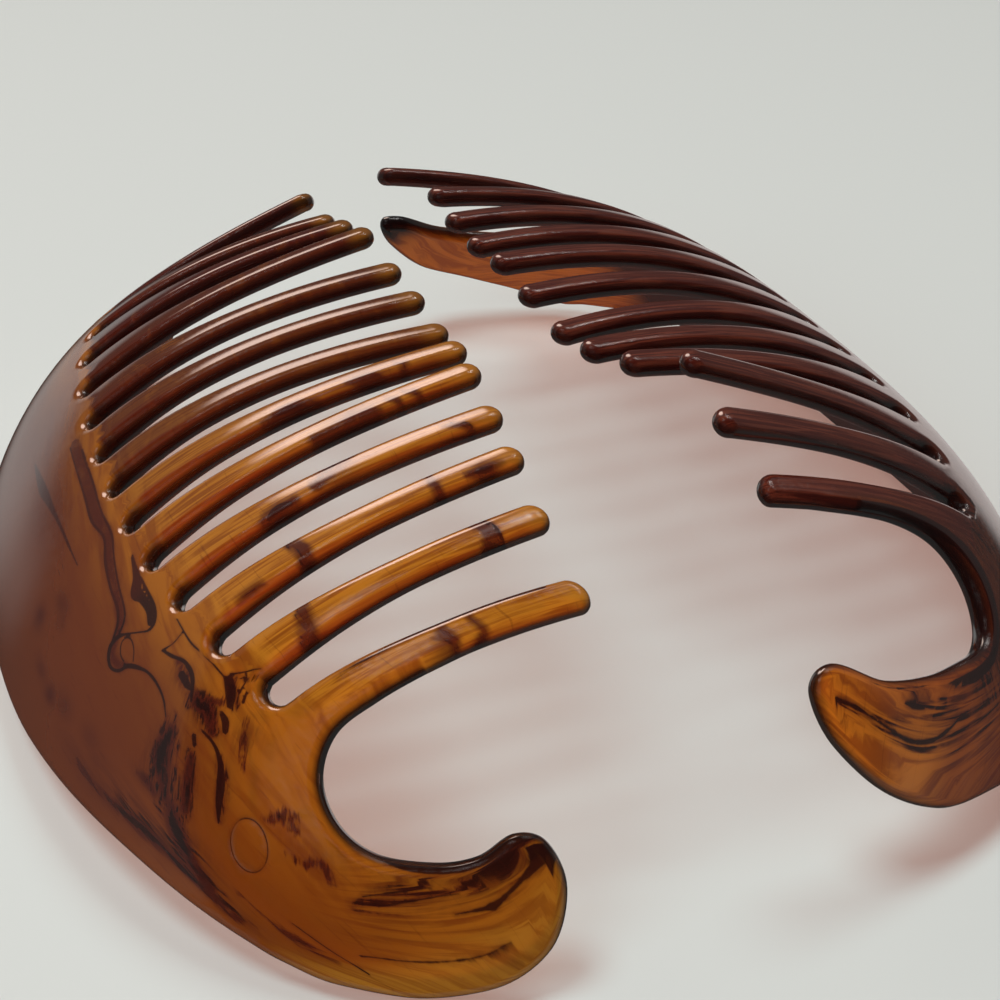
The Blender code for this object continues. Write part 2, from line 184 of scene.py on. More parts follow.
        (-16.3, 16.9, 1.4, 0.8, 1.0), (-13.0, 17.2, 1.8, 0.6, 0.7), (-10.4, 22.4, 1.8, 0.8, 0.75),
        (-8.0, 19.4, 1.3, 1.0, 1.0), (-12.0, 21.6, 1.2, 0.7, 0.5), (-31.6, 22.8, 1.6, 2.6, 0.9),
        (-34.4, 21.4, 2.0, 2.6, 0.75), (-32.4, 27.9, 2.0, 1.3, 0.85), (-32.4, 20.2, 2.2, 0.8, 0.9),
        (-37.2, 18.4, 3.6, 1.3, 0.9), (-33.0, 17.2, 6.0, 1.3, 0.8), (-27.0, 16.0, 6.0, 0.9, 0.5),
        (-21.6, 24.6, 1.4, 0.5, 0.7), (-18.2, 27.2, 1.8, 0.6, 0.7), (-12.0, 28.2, 4.0, 0.6, 0.6),
        (-4.0, 29.0, 7.0, 0.8, 0.65), (-36.0, 29.0, 1.2, 1.6, 0.55), (-28.6, 28.3, 1.6, 0.8, 0.7),
        (-42.0, 17.0, 3.0, 0.8, 0.6), (-48.9, 29.0, 1.3, 4.5, 0.6), (-50.3, 36.0, 0.9, 6.0, 0.7),
        (-44.5, 25.6, 2.4, 1.4, 0.35), (4.0, 24.0, 8.0, 4.0, 0.5), (14.0, 26.0, 9.0, 8.0, 0.55),
        (-18.6, 48.2, 1.4, 2.0, 0.8), (-13.2, 52.0, 1.0, 2.6, 0.9), (-7.2, 55.2, 1.0, 1.4, 0.8),
    ],
    "toothShades": [0.0, 0.0, 0.0, 0.05, 0.1, 0.3, 0.75, 0.85, 0.9, 0.95, 1.0, 0.95, 1.0],
    "spine": [(-51.2, 43.5), (-51.8, 38.0), (-51.4, 32.5), (-49.6, 27.0), (-46.4, 22.8),
              (-41.0, 20.4), (-30.0, 18.8), (0.0, 17.8)],
    "fineBoxes": [(-41.0, -12.0, 15.0, 34.0), (-12.0, 9.0, 26.6, 31.4), (-54.2, -43.6, 18.0, 46.0)],
}

rightFigure = {
    "swirls": {
        "line": [
            [(-49.2, 50.4, 0.14), (-49.6, 47.5, 0.08), (-50.2, 44.0, 0.06), (-50.7, 40.2, 0.1),
             (-50.5, 37.0, 0.14), (-49.8, 34.8, 0.12), (-49.0, 33.4, 0.05)],
            [(-49.15, 41.6, 0.05), (-49.2, 40.0, 0.16), (-49.2, 38.8, 0.05)],
            [(-48.6, 46.5, 0.03), (-48.8, 43.4, 0.05), (-48.5, 40.8, 0.07), (-48.3, 38.4, 0.05),
             (-47.9, 36.0, 0.06)],
            # painted shade: black along the inner edge, up the end tooth
            [(-35.4, 56.0, 0.02), (-35.7, 50.0, 0.25), (-35.9, 43.0, 0.45), (-36.1, 39.5, 0.5),
             (-36.9, 35.2, 0.5), (-39.0, 31.6, 0.5), (-42.1, 29.6, 0.5), (-44.7, 29.8, 0.5),
             (-46.5, 32.0, 0.35), (-47.7, 35.4, 0.15), (-48.3, 38.2, 0.03)],
        ],
        "ragged": [],
        "band": [
            [(-49.3, 50.0, 0.2), (-49.9, 46.5, 0.25), (-50.5, 41.0, 0.4), (-50.3, 37.6, 0.7),
             (-49.3, 34.6, 0.9)],
            [(-48.7, 36.4, 0.5), (-49.5, 36.6, 0.9), (-50.2, 36.9, 0.7)],
            [(-48.8, 41.8, 0.1), (-49.1, 40.0, 0.35), (-49.1, 37.8, 0.3)],
        ],
    },
    "clouds": [
        (-47.0, 30.0, 4.0, 4.0, 0.9), (-49.4, 33.4, 2.4, 3.0, 0.9), (-50.0, 40.0, 0.9, 6.0, 0.6),
        (-30.0, 30.0, 13.0, 8.0, 0.9), (0.0, 28.0, 30.0, 10.0, 0.9),
    ],
    "toothShades": [0.92, 0.85, 0.88, 0.92, 0.9, 0.95, 0.95, 0.95, 0.9, 0.9, 0.95, 0.95],
    "spine": [(-49.6, 50.0), (-50.8, 43.0), (-50.9, 37.0), (-49.4, 31.0), (-46.4, 26.0),
              (-41.0, 22.6), (-30.0, 20.0), (0.0, 18.0)],
    "fineBoxes": [(-53.4, -35.0, 27.0, 51.0)],
}

# hooks and foot: distance from the middle, section angle
# teeth, from the near end: tip's angle, set of the tip outwards and along the row
leftComb = {
    "piece": "leftCombShell", "node": "left_comb", "slot": "left_tortoiseshell",
    "rootAngle": 44.4, "rootSpread": 1.8, "tipSlope": 0.0,
    "nearHook": [
        (39.4, 54.1), (39.4, 50.7), (39.6, 47.4), (41.4, 44.6), (44.2, 43.2), (46.7, 43.7),
        (48.7, 46.2), (49.6, 48.9), (49.6, 51.9), (50.5, 53.5), (52.4, 52.9), (53.8, 49.4),
        (53.8, 43.6), (52.2, 37.6), (49.2, 33.6), (46.3, 32.1),
    ],
    "farHook": [
        (39.6, 54.1), (39.5, 50.7), (39.8, 47.4), (41.4, 44.6), (44.2, 43.2), (46.2, 42.2),
        (47.6, 42.3), (48.2, 43.6), (48.3, 45.3), (49.0, 46.2), (50.2, 45.2), (50.9, 42.2),
        (50.6, 38.6), (49.4, 35.6), (47.8, 33.6), (45.8, 32.3),
    ],
    "foot": [(43.8, 31.5), (39.6, 30.9), (31.8, 30.2), (20.8, 28.9), (10.4, 27.7), (0.0, 27.3)],
    "teeth": [
        (0.0, -0.8, -0.3), (-0.3, -0.8, 1.9), (-0.6, 0.4, 1.5), (-0.7, 0.3, 1.3),
        (-0.8, 0.9, 1.2), (-0.8, 0.6, -0.3), (-0.8, -0.4, -0.9), (-0.6, -0.5, 0.2),
        (-0.5, -0.3, 0.5), (-0.5, 0.9, 1.3), (-0.6, 0.4, 0.3), (-0.5, 0.0, 0.0),
        (-0.3, 1.7, 0.9),
    ],
    "mirror": False, "turn": 0.0, "shift": (0.0, 0.0, 0.0),
    "figure": leftFigure,
    # fine ring left by the mould near the near hook; profile: lines off the ring, share of the depth
    "mouldMark": {"y": -41.0, "arc": 22.7, "wide": 1.4, "high": 2.05, "lean": -24.0,
                  "line": 0.1, "depth": 0.06, "ink": 0.02,
                  "profile": [(-2.0, 0.0), (-1.0, 0.55), (0.0, 1.0), (1.0, 0.55), (2.0, 0.0)]},
}

rightComb = {
    "piece": "rightCombShell", "node": "right_comb", "slot": "right_tortoiseshell",
    "rootAngle": 46.2, "rootSpread": -2.1, "tipSlope": 2.6,
    "nearHook": [
        (36.1, 56.2), (36.3, 52.5), (37.2, 48.8), (39.4, 45.9), (42.3, 44.3), (44.4, 44.6),
        (45.9, 46.6), (47.4, 49.9), (48.1, 54.2), (47.4, 58.9), (48.8, 60.3), (51.1, 57.8),
        (52.7, 51.9), (52.7, 44.6), (50.9, 38.6), (48.7, 35.0), (46.2, 33.7),
    ],
    "farHook": [
        (36.5, 56.2), (36.9, 52.9), (38.6, 50.1), (40.8, 48.0), (43.0, 46.8), (44.7, 46.6),
        (46.3, 47.5), (48.1, 50.5), (48.9, 55.1), (48.4, 59.8), (49.1, 61.6), (51.1, 58.7),
        (52.4, 52.8), (51.7, 45.4), (50.0, 38.9), (48.3, 35.4), (46.2, 34.1),
    ],
    "foot": [(43.8, 33.0), (39.6, 31.8), (31.8, 29.6), (20.8, 27.8), (10.4, 26.9), (0.0, 26.6)],
    "teeth": [
        (-1.7, -0.7, 1.5), (0.2, 2.3, -0.8), (-0.8, 3.2, 0.0), (-0.3, -0.3, 0.0),
        (-0.1, -1.6, -1.1), (-0.5, -2.5, -1.7), (-0.4, -1.6, -1.6), (-0.7, -1.4, -0.6),
        (-0.7, -1.8, -1.1), (-0.7, -1.3, -1.2), (-1.2, -0.4, -0.4), (1.0, 0.6, 1.0),
    ],
    "mirror": True, "turn": 2.0, "shift": (-2.4, 0.7, 2.1),
    "figure": rightFigure,
    "mouldMark": None,
}


def shellPoint(y, angle):
    y, angle = np.asarray(y, float), np.radians(np.asarray(angle, float))
    plan = (1 - np.abs(y / shell["planHalf"]) ** shell["planPower"]) ** (1 / shell["planPower"])
    rise = (1 - np.abs(y / shell["riseHalf"]) ** shell["risePower"]) ** (1 / shell["risePower"])
    power = shell["sectionPower"]
    c, s = np.cos(angle), np.sin(angle)
    radius = (c ** power + s ** power) ** (-1 / power)
    x = shell["middle"] - shell["reach"] * plan * c * radius
    z = shell["foot"] + shell["rise"] * rise * s * radius
    return np.stack([x, y + 0 * x, z], -1)


def shellNormal(y, angle):
    y, angle = np.asarray(y, float), np.asarray(angle, float)
    step = shell["slopeStep"]
    along = shellPoint(y + step, angle) - shellPoint(y - step, angle)
    up = shellPoint(y, angle + step) - shellPoint(y, angle - step)
    normal = np.cross(up, along)
    return normal / np.linalg.norm(normal, axis=-1, keepdims=True)


# arc length up the middle section against the section angle
sectionAngles = np.arange(*shell["angles"])
sectionPoints = shellPoint(0 * sectionAngles, sectionAngles)
sectionArcs = np.concatenate([[0.0], np.cumsum(np.linalg.norm(np.diff(sectionPoints, axis=0), axis=1))])
sectionArcs -= np.interp(shell["zeroAngle"], sectionAngles, sectionArcs)


def arcAt(angle):
    return float(np.interp(angle, sectionAngles, sectionArcs))


def angleAt(arc):
    return np.interp(arc, sectionArcs, sectionAngles)


def smoothStep(low, high, value):
    t = np.clip((value - low) / (high - low), 0, 1)
    return t * t * (3 - 2 * t)


def rootArc(half, y):
    return np.interp(half["rootAngle"] + half["rootSpread"] * (y / shell["spreadLength"]) ** 2,
                     sectionAngles, sectionArcs)


def tipArc(half, index, y):
    part = y / shell["spreadLength"]
    angle = shell["tipAngle"] + shell["tipSpread"] * part ** 2 + half["tipSlope"] * part
    return arcAt(angle + half["teeth"][index][0])


def curveThrough(points, steps):
    points = np.array(points, float)
    chain = np.vstack([2 * points[0] - points[1], points, 2 * points[-1] - points[-2]])
    t = (np.arange(steps) / steps)[:, None]
    spans = []
    for p, q, r, s in zip(chain, chain[1:], chain[2:], chain[3:]):
        spans.append(0.5 * (2 * q + (r - p) * t + (2 * p - 5 * q + 4 * r - s) * t ** 2
                            + (3 * q - p - 3 * r + s) * t ** 3))
    return np.vstack(spans)


# edge of one end in flat coordinates, from the end tooth to the middle of the foot
def hookEdge(half, side):
    hook = half["nearHook"] if side < 0 else half["farHook"]
    points = [(side * y, arcAt(angle)) for y, angle in hook + half["foot"]]
    beyond = half["foot"][-2]
    points.append((-side * beyond[0], arcAt(beyond[1])))
    curve = curveThrough(points, meshing["hookSteps"])[:-meshing["hookSteps"]]
    return [(y, arc, -1, 0.0) for y, arc in curve]


def toothEdge(half, index, y):
    low = rootArc(half, y) + shell["pitch"] / 2 - shell["rootHalf"]
    high = tipArc(half, index, y) - shell["tipHalf"]
    up, tip, down = [], [], []
    for part in np.linspace(0, 1, meshing["stations"]):
        arc = low + (high - low) * part
        narrowing = smoothStep(0.0, shell["narrowedBy"], part)
        halfWidth = shell["rootHalf"] + (shell["tipHalf"] - shell["rootHalf"]) * narrowing
        up.append((y - halfWidth, arc, index, part))
        down.insert(0, (y + halfWidth, arc, index, part))
    for turn in np.linspace(0, math.pi, meshing["tipSteps"] + 1)[1:-1]:
        tip.append((y - shell["tipHalf"] * math.cos(turn),
                    high + shell["tipHalf"] * math.sin(turn), index, 1.0))
    return up, tip, down


def gapEdge(half, y):
    radius = shell["pitch"] / 2 - shell["rootHalf"]
    return [(y - radius * math.cos(turn), rootArc(half, y) + radius * (1 - math.sin(turn)), -1, 0.0)
            for turn in np.linspace(0, math.pi, meshing["gapSteps"] + 1)[1:-1]]


def halfEdge(half):
    count = len(half["teeth"])
    row = [(k - (count - 1) / 2) * shell["pitch"] for k in range(count)]
    near, far = hookEdge(half, -1), hookEdge(half, 1)
    start = near[0][1] + meshing["clearance"]
    outline = [(0.0, arcAt(half["foot"][-1][1]), -1, 0.0)] + near[::-1]
    for k, y in enumerate(row):
        up, tip, down = toothEdge(half, k, y)
        if k == 0:
            up = [entry for entry in up if entry[1] > start]
        if k == count - 1:
            down = [entry for entry in down if entry[1] > start]
        outline += up + tip + down
        if k < count - 1:
            outline += gapEdge(half, y + shell["pitch"] / 2)
    return np.array((outline + far)[::-1]), row


# for each flat point, how far the outline is and whether the point lies within it
def edgeDistance(points, outline):
    a, b = outline[:, :2], np.roll(outline[:, :2], -1, axis=0)
    step = b - a
    rise = np.where(step[:, 1] == 0, 1.0, step[:, 1])
    far, within = [], []
    for chunk in np.array_split(points, max(1, len(points) // meshing["atOnce"])):
        x, y = chunk[:, 0, None] - a[:, 0], chunk[:, 1, None] - a[:, 1]
        t = np.clip((x * step[:, 0] + y * step[:, 1]) / (step ** 2).sum(1), 0, 1)
        far.append(np.hypot(x - t * step[:, 0], y - t * step[:, 1]).min(1))
        straddles = (y < 0) != (y < step[:, 1])
        crosses = straddles & (x < y / rise * step[:, 0])
        within.append(crosses.sum(1) % 2 == 1)
    return np.concatenate(far), np.concatenate(within)


# which flat points lie in the outline and at least a margin away from its edge
def insideEdge(points, outline, margin):
    far, within = edgeDistance(points, outline)
    return within & (far >= margin)


def gridPoints(box, step):
    columns = np.arange(box[0], box[1], step)
    rows = np.arange(box[2], box[3], step)
    y, arc = np.meshgrid(columns, rows)
    arc = arc + np.where(np.arange(len(columns)) % 2, step / 2, 0)
    return np.column_stack([y.ravel(), arc.ravel()])


# how far a flat point lies from the middle of the mark, 1 on its ring
def markReach(mark, points):
    lean = math.radians(mark["lean"])
    dy, da = points[:, 0] - mark["y"], points[:, 1] - mark["arc"]
    across = dy * math.cos(lean) + da * math.sin(lean)
    up = da * math.cos(lean) - dy * math.sin(lean)
    return np.hypot(across / mark["wide"], up / mark["high"])


def fillPoints(half, outline, row):
    coarse = gridPoints(meshing["area"], meshing["fillStep"])
    for box in half["figure"]["fineBoxes"]:
        low, high, bottom, top = box
        outside = (coarse[:, 0] < low) | (coarse[:, 0] > high)
        outside |= (coarse[:, 1] < bottom) | (coarse[:, 1] > top)
        coarse = np.vstack([coarse[outside], gridPoints(box, meshing["fineStep"])])
    mark = half["mouldMark"]
    if mark:
        coarse = coarse[np.abs(markReach(mark, coarse) - 1) * mark["wide"] > meshing["markClear"]]
    lines = []
    for stroke in half["figure"]["swirls"]["line"]:
        path = strokePath(stroke)[:, :2]
        reach = np.concatenate([[0.0], np.cumsum(np.linalg.norm(np.diff(path, axis=0), axis=1))])
        at = np.arange(0.0, reach[-1], meshing["strokeStep"])
        lines.append(np.column_stack([np.interp(at, reach, path[:, k]) for k in (0, 1)]))
    lines = np.vstack(lines)
    apart = np.ones(len(coarse), bool)
    for line in lines:
        apart &= np.hypot(coarse[:, 0] - line[0], coarse[:, 1] - line[1]) > meshing["strokeStep"] / 2
    coarse = np.vstack([coarse[apart], lines])
    coarse = coarse[insideEdge(coarse, outline, meshing["fillMargin"])]
    points = [coarse[toothOf(half, row, coarse)[1] < meshing["rootShare"]]]
    for k, y in enumerate(row):
        arcs = np.arange(rootArc(half, y) + meshing["toothFrom"],
                         tipArc(half, k, y) - meshing["toothEnd"], meshing["toothStep"])
        points.append(np.column_stack([np.full(len(arcs), y), arcs]))
    return np.vstack(points)


# a fine ring groove: ovals of points, the middle one pressed in
def markPoints(mark):
    flat, depths = [], []
    lean = math.radians(mark["lean"])
    for offset, depth in mark["profile"]:
        wide, high = mark["wide"] + offset * mark["line"], mark["high"] + offset * mark["line"]
        for turn in np.linspace(0, 2 * math.pi, meshing["markTurns"] + 1)[:-1]:
            across, up = wide * math.cos(turn), high * math.sin(turn)
            flat.append((mark["y"] + across * math.cos(lean) - up * math.sin(lean),
                         mark["arc"] + across * math.sin(lean) + up * math.cos(lean)))
            depths.append(depth * mark["depth"])
    return np.array(flat), np.array(depths)


def thickness(arc):
    share = smoothStep(arcAt(shell["wallAngle"]), arcAt(shell["toothAngle"]), arc)
    return shell["wall"] + (shell["toothThickness"] - shell["wall"]) * share


def skinFaces(outline, fill):
    flat = [Vector(p) for p in outline[:, :2]] + [Vector(p) for p in fill]
    count = len(outline)
    ring = [(i, (i + 1) % count) for i in range(count)]
    result = delaunay_2d_cdt(flat, ring, [], 0, meshing["merge"], True)
    faces = np.array([[result[3][v][0] for v in face] for face in result[2]])
    allFlat = np.vstack([outline[:, :2], fill])
    return faces[insideEdge(allFlat[faces].mean(1), outline, meshing["sliver"])]


# mirror, turn and shift a half, then seat it on the table with the other
def placeHalf(half, points):
    side = -1.0 if half["mirror"] else 1.0
    tilt = Matrix.Rotation(math.radians(shell["tilt"][0]), 3, "X")
    tilt = tilt @ Matrix.Rotation(math.radians(shell["tilt"][1]), 3, "Y")
    turn = Matrix.Rotation(math.radians(half["turn"]), 3, "Z")
    turned = (points * (side, 1, 1)) @ np.array(turn).T + half["shift"]
    return turned @ np.array(tilt).T + shell["shift"]


def nearestTooth(row, y):
    return np.clip(np.round((y - row[0]) / shell["pitch"]).astype(int), 0, len(row) - 1)


# tooth of each flat point and how far up it the point lies
def toothOf(half, row, points):
    y, arc = points.T
    row = np.array(row)
    index = nearestTooth(row, y)
    low = np.array([rootArc(half, middle) + shell["pitch"] / 2 - shell["rootHalf"] for middle in row])
    high = np.array([tipArc(half, k, middle) - shell["tipHalf"] for k, middle in enumerate(row)])
    part = np.clip((arc - low[index]) / (high[index] - low[index]), 0, 1)
    onTooth = (part > 0) & (np.abs(y - row[index]) < shell["rootHalf"] + meshing["toothSlack"])
    return np.where(onTooth, index, -1), np.where(onTooth, part, 0.0)


# strokes: steps between two points, and the distance kept where none is near
strokeSteps, farAway = 5, 4.0


def strokePath(points):
    return np.vstack([curveThrough(points, strokeSteps), points[-1]])


# least distance from flat points to some strokes, less their half width
def strokeDistance(strokes, points):
    nearest = np.full(len(points), farAway)
    for stroke in strokes:
        path = strokePath(stroke)
        for a, b in zip(path, path[1:]):
            step = b[:2] - a[:2]
            t = np.clip(((points - a[:2]) @ step) / (step @ step), 0, 1)
            away = np.linalg.norm(points - a[:2] - t[:, None] * step, axis=1)
            nearest = np.minimum(nearest, away - a[2] - t * (b[2] - a[2]))
    return nearest


def cloudShade(clouds, points):
    shade = np.zeros(len(points))
    for y, arc, wide, high, strength in clouds:
        away = ((points[:, 0] - y) / wide) ** 2 + ((points[:, 1] - arc) / high) ** 2
        shade = np.maximum(shade, strength * np.exp(-away))
    return shade


# melt on teeth: where it starts over the root, how far it reaches from the middle
# seeds set the noise of each tooth and of each end apart
# steps between two points of the spine, and how far back its first step runs on
melt = {"from": 1.0, "reach": 3.3, "toothSeed": 7.0, "endSeed": 3.0, "steps": 6, "runOn": -9}


# how the melt ran at each flat point: distance across the flow, way along it, seed
def meltFlow(half, row, points):
    mirrored = np.column_stack([-np.abs(points[:, 0]), points[:, 1]])
    path = curveThrough(half["figure"]["spine"], melt["steps"])
    across, along = np.zeros(len(points)), np.zeros(len(points))
    nearest = np.full(len(points), np.inf)
    start = 0.0
    for a, b in zip(path, path[1:]):
        step = b - a
        length = np.linalg.norm(step)
        offset = mirrored - a
        t = np.clip(offset @ step / length ** 2, 0 if start else melt["runOn"], 1)
        away = np.linalg.norm(offset - t[:, None] * step, axis=1)
        side = np.sign(step[0] * offset[:, 1] - step[1] * offset[:, 0])
        closer = away < nearest
        across = np.where(closer, side * away, across)
        along = np.where(closer, start + t * length, along)
        nearest = np.where(closer, away, nearest)
        start += length
    row = np.array(row)
    tooth = nearestTooth(row, points[:, 0])
    fromMiddle = points[:, 0] - row[tooth]
    onTooth = points[:, 1] > rootArc(half, row[tooth]) + melt["from"]
    onTooth &= np.abs(fromMiddle) < melt["reach"]
    seed = np.where(onTooth, melt["toothSeed"] * (tooth + 2), melt["endSeed"] * np.sign(points[:, 0]))
    return np.column_stack([np.where(onTooth, fromMiddle, across),
                            np.where(onTooth, points[:, 1], along), seed])


# soft edge of a band: where it starts and ends over the stroke, and its strength
bandEdge = {"from": -0.15, "to": 0.35, "strength": 0.95}


# what the plastic shows at each flat point: swirl distances, clouds, tooth shade, edge
def castFigure(half, points, tooth, part, edge):
    swirls = half["figure"]["swirls"]
    fade = smoothStep(bandEdge["from"], bandEdge["to"], strokeDistance(swirls["band"], points))
    bands = bandEdge["strength"] * (1 - fade)
    figure = np.column_stack([strokeDistance(swirls["line"], points),
                              strokeDistance(swirls["ragged"], points),
                              np.maximum(cloudShade(half["figure"]["clouds"], points), bands)])
    mark = half["mouldMark"]
    if mark:
        ring = np.abs(markReach(mark, points) - 1) * mark["wide"] - mark["ink"]
        figure[:, 0] = np.minimum(figure[:, 0], ring)
    shades = np.array(half["figure"]["toothShades"] + [0.0])
    tone = np.column_stack([shades[tooth.astype(int)], part, edge])
    return figure, tone


# object of one half, with what its material reads kept on its points
def makePiece(half, vertices, polygons, attributes):
    mesh = bpy.data.meshes.new(half["piece"])
    mesh.from_pydata((placeHalf(half, vertices) * mm).tolist(), [], polygons)
    if half["mirror"]:
        mesh.flip_normals()
    mesh.polygons.foreach_set("use_smooth", [True] * len(mesh.polygons))
    for name, values in attributes.items():
        layer = mesh.attributes.new(name, "FLOAT_VECTOR", "POINT")
        layer.data.foreach_set("vector", values.astype(np.float32).ravel())
    mesh.update()
    piece = bpy.data.objects.new(half["piece"], mesh)
    bpy.context.scene.collection.objects.link(piece)
    print("stage:", half["piece"], len(mesh.polygons), "faces")
    return piece


# one comb half as a fine closed mesh: two skins and a full-round rim
def buildHalf(half):
    outline, row = halfEdge(half)
    count = len(outline)
    mark = half["mouldMark"]
    fill = fillPoints(half, outline, row)
    dent = np.zeros(len(fill))
    if mark:
        markFlat, markDepth = markPoints(mark)
        fill, dent = np.vstack([fill, markFlat]), np.concatenate([dent, markDepth])
    fillTooth, fillPart = toothOf(half, row, fill)
    flat = np.vstack([outline[:, :2], fill])
    tooth = np.concatenate([outline[:, 2], fillTooth]).astype(int)
    part = np.concatenate([outline[:, 3], fillPart])
    y, arc = flat.T
    angle = angleAt(arc)
    point, normal = shellPoint(y, angle), shellNormal(y, angle)
    sets = np.array(half["teeth"] + [(0.0, 0.0, 0.0)])[tooth]
    point = point + (sets[:, 1] * part ** 2)[:, None] * shellNormal(np.array(row + [0.0])[tooth], angle)
    point[:, 1] += sets[:, 2] * part ** 2
    deep = thickness(arc)

    border, borderNormal = point[:count], normal[:count]
    tangent = np.roll(border, -1, axis=0) - np.roll(border, 1, axis=0)
    inward = np.cross(tangent, borderNormal)
    inward /= np.linalg.norm(inward, axis=1, keepdims=True)
    rounding = np.where(tooth[:count] >= 0, shell["toothRounding"], shell["wallRounding"])
    along = np.roll(outline[:, :2], -1, axis=0) - np.roll(outline[:, :2], 1, axis=0)
    flatInward = np.column_stack([-along[:, 1], along[:, 0]])
    flatInward *= shell["flatInward"] / np.linalg.norm(flatInward, axis=1, keepdims=True)
    vertices, edge, place = [], [], []
    for turn in np.linspace(0, math.pi, meshing["rimSteps"] + 1):
        inset = rounding * (1 - math.sin(turn))
        drop = deep[:count] * (1 - math.cos(turn)) / 2
        vertices.append(border + inward * inset[:, None] - borderNormal * drop[:, None])
        edge.append(inset)
        place.append(outline[:, :2] + flatInward * inset[:, None])
    upper = len(vertices) * count
    inner = point - normal * deep[:, None]
    vertices += [point[count:] - normal[count:] * dent[:, None], inner[count:]]
    fillEdge = edgeDistance(fill, outline)[0]
    edge += [fillEdge, fillEdge]
    place = np.vstack(place + [fill, fill])
    repeat = np.concatenate([np.tile(np.arange(count), meshing["rimSteps"] + 1),
                             np.tile(np.arange(count, len(flat)), 2)])
    figure, tone = castFigure(half, place, tooth[repeat], part[repeat], np.concatenate(edge))

    skin = skinFaces(outline, fill)
    outer = np.where(skin < count, skin, skin - count + upper)
    lower = np.where(skin < count, skin + meshing["rimSteps"] * count, skin - count + upper + len(fill))
    here = np.arange(count)
    following = (here + 1) % count
    rim = [np.stack([following, here, here + count, following + count], 1) + ring * count
           for ring in range(meshing["rimSteps"])]
    polygons = outer.tolist() + lower[:, ::-1].tolist() + np.vstack(rim).tolist()

    return makePiece(half, np.vstack(vertices), polygons, {
        "cast": np.column_stack([place, tooth[repeat]]), "figure": figure, "tone": tone,
        "flow": meltFlow(half, row, place)})


# tortoiseshell plastic: honey at the edges, amber, russet clouds and near-black ink
# tips and farHook: how pale the tooth tips are, and how strongly the far hook takes its painted orange
# glow of light shining through it
# rim: how deep the painted shade along the wall's rim goes, and its strength
# outer, goldDepth, goldAbove: where a hook turns golden, across the melt, in from the edge, up the shell
# bodyFrom, bodyBelow: where the body turns redder, along the half and up the shell
# red: the colour of a painted red glow on the near sides of the teeth
plastic = {
    "left": {"honey": (0.62, 0.25, 0.022), "amber": (0.45, 0.135, 0.008), "deep": (0.26, 0.055, 0.004),
             "russet": (0.085, 0.010, 0.004), "ink": (0.008, 0.002, 0.002),
             "tooth": (0.085, 0.012, 0.006), "body": (0.15, 0.026, 0.006), "red": (0.30, 0.018, 0.004),
             "orange": (0.5, 0.12, 0.01), "tips": 0.3, "farHook": 0.0, "firstTooth": -37.8,
             "toothAmber": (0.58, 0.20, 0.014), "rim": (0.6, 0.1, 0.0, 0.8), "outer": (0.3, -0.6),
             "goldDepth": (2.6, 0.7), "goldAbove": (8.0, 10.0),
             "bodyFrom": (-42.0, -26.0), "bodyBelow": (33.0, 24.0)},
    "right": {"honey": (0.88, 0.25, 0.016), "amber": (0.52, 0.105, 0.007), "deep": (0.25, 0.032, 0.005),
              "russet": (0.075, 0.008, 0.004), "ink": (0.008, 0.002, 0.002),
              "tooth": (0.17, 0.035, 0.018), "body": (0.045, 0.009, 0.005), "red": (0.05, 0.006, 0.004),
              "orange": (0.80, 0.20, 0.012), "tips": 0.0, "farHook": 1.0, "firstTooth": -34.65,
              "toothAmber": (0.30, 0.06, 0.010), "rim": (0.85, 0.1, 0.0, 0.8), "outer": (3.6, -0.4),
              "goldDepth": (4.6, 2.6), "goldAbove": (32.0, 38.0),
              "bodyFrom": (-49.0, -44.0), "bodyBelow": (90.0, 80.0)},
}

# where each mask starts and where it is full, then its strengths there if not 0 and 1
ranges = {
    # places along the half; the far hook is where the painted orange glow lies
    "hook": (-44.0, -49.0), "mark zone": (-28.0, -31.0), "far swirls": (-27.0, -24.0),
    "far lines": (-20.0, -17.0, 0.22, 0.65), "far hook": (38.0, 43.0), "inner side": (51.0, 49.0),
    # arcs up the shell
    "low on the body": (21.0, 18.5), "deeper low down": (31.0, 19.0), "tip of the hook": (46.0, 52.0),
    # share of a tooth, distance from its middle, distance from an edge; near side holds the painted red
    # glow
    "on a tooth": (0.0, 0.06), "up a tooth": (0.0, 0.12), "off teeth": (0.06, 0.0),
    # dark rim: how far in from an edge the painted edge shade reaches, and its strength
    "tip of a tooth": (0.93, 1.0), "near side": (-0.7, -1.5), "dark rim": (0.32, 0.0, 0.0, 0.85),
    # noise and cloud values
    "deep amber": (0.38, 0.66, 0.0, 0.8), "tooth streaks": (0.38, 0.60), "hook streaks": (0.4, 0.6),
    "golden streaks": (0.66, 0.40, 0.3, 1.0), "fine streaks": (0.62, 0.74, 0.0, 0.3),
    "tooth mottle": (0.3, 0.5, 0.85, 1.0), "cloud mottle": (0.34, 0.60, 0.25, 1.0),
    "smooth mottle": (0.2, 0.5, 0.75, 1.0), "marks": (0.51, 0.59), "in clouds": (0.40, 0.85),
}

# strength of each layer over those below, 1 if not named here
strengths = {
    "redder body": 0.8, "painted red glow on near side": 0.7, "golden rim": 0.85, "dark marks": 0.75,
    "ragged swirls": 0.9, "ragged cores": 0.85, "red halo": 0.55, "swirl lines": 0.93,
    "brown on teeth": 0.45,
}

# edge of each kind of stroke: how ragged and how soft; and how far in a ragged one turns to ink
strokeEdges = {
    "ragged swirls": (1.6, 0.22), "ragged cores": (1.4, 0.2), "red halo": (0.6, 0.3),
    "swirl lines": (0.2, 0.06),
}
coreInset = 0.35

# surface of the plastic, and how much of a lamp's light each crossing lets through
finish = {
    "gloss": (0.3, 0.75, 0.07, 0.16), "scuffSize": 2.4, "scuffDetail": 6.0,
    "waviness": 0.1, "waveHeight": 0.00006, "refraction": 1.49, "transmission": 0.3,
    "shadowTint": (0.71, 0.49, 0.44),
}


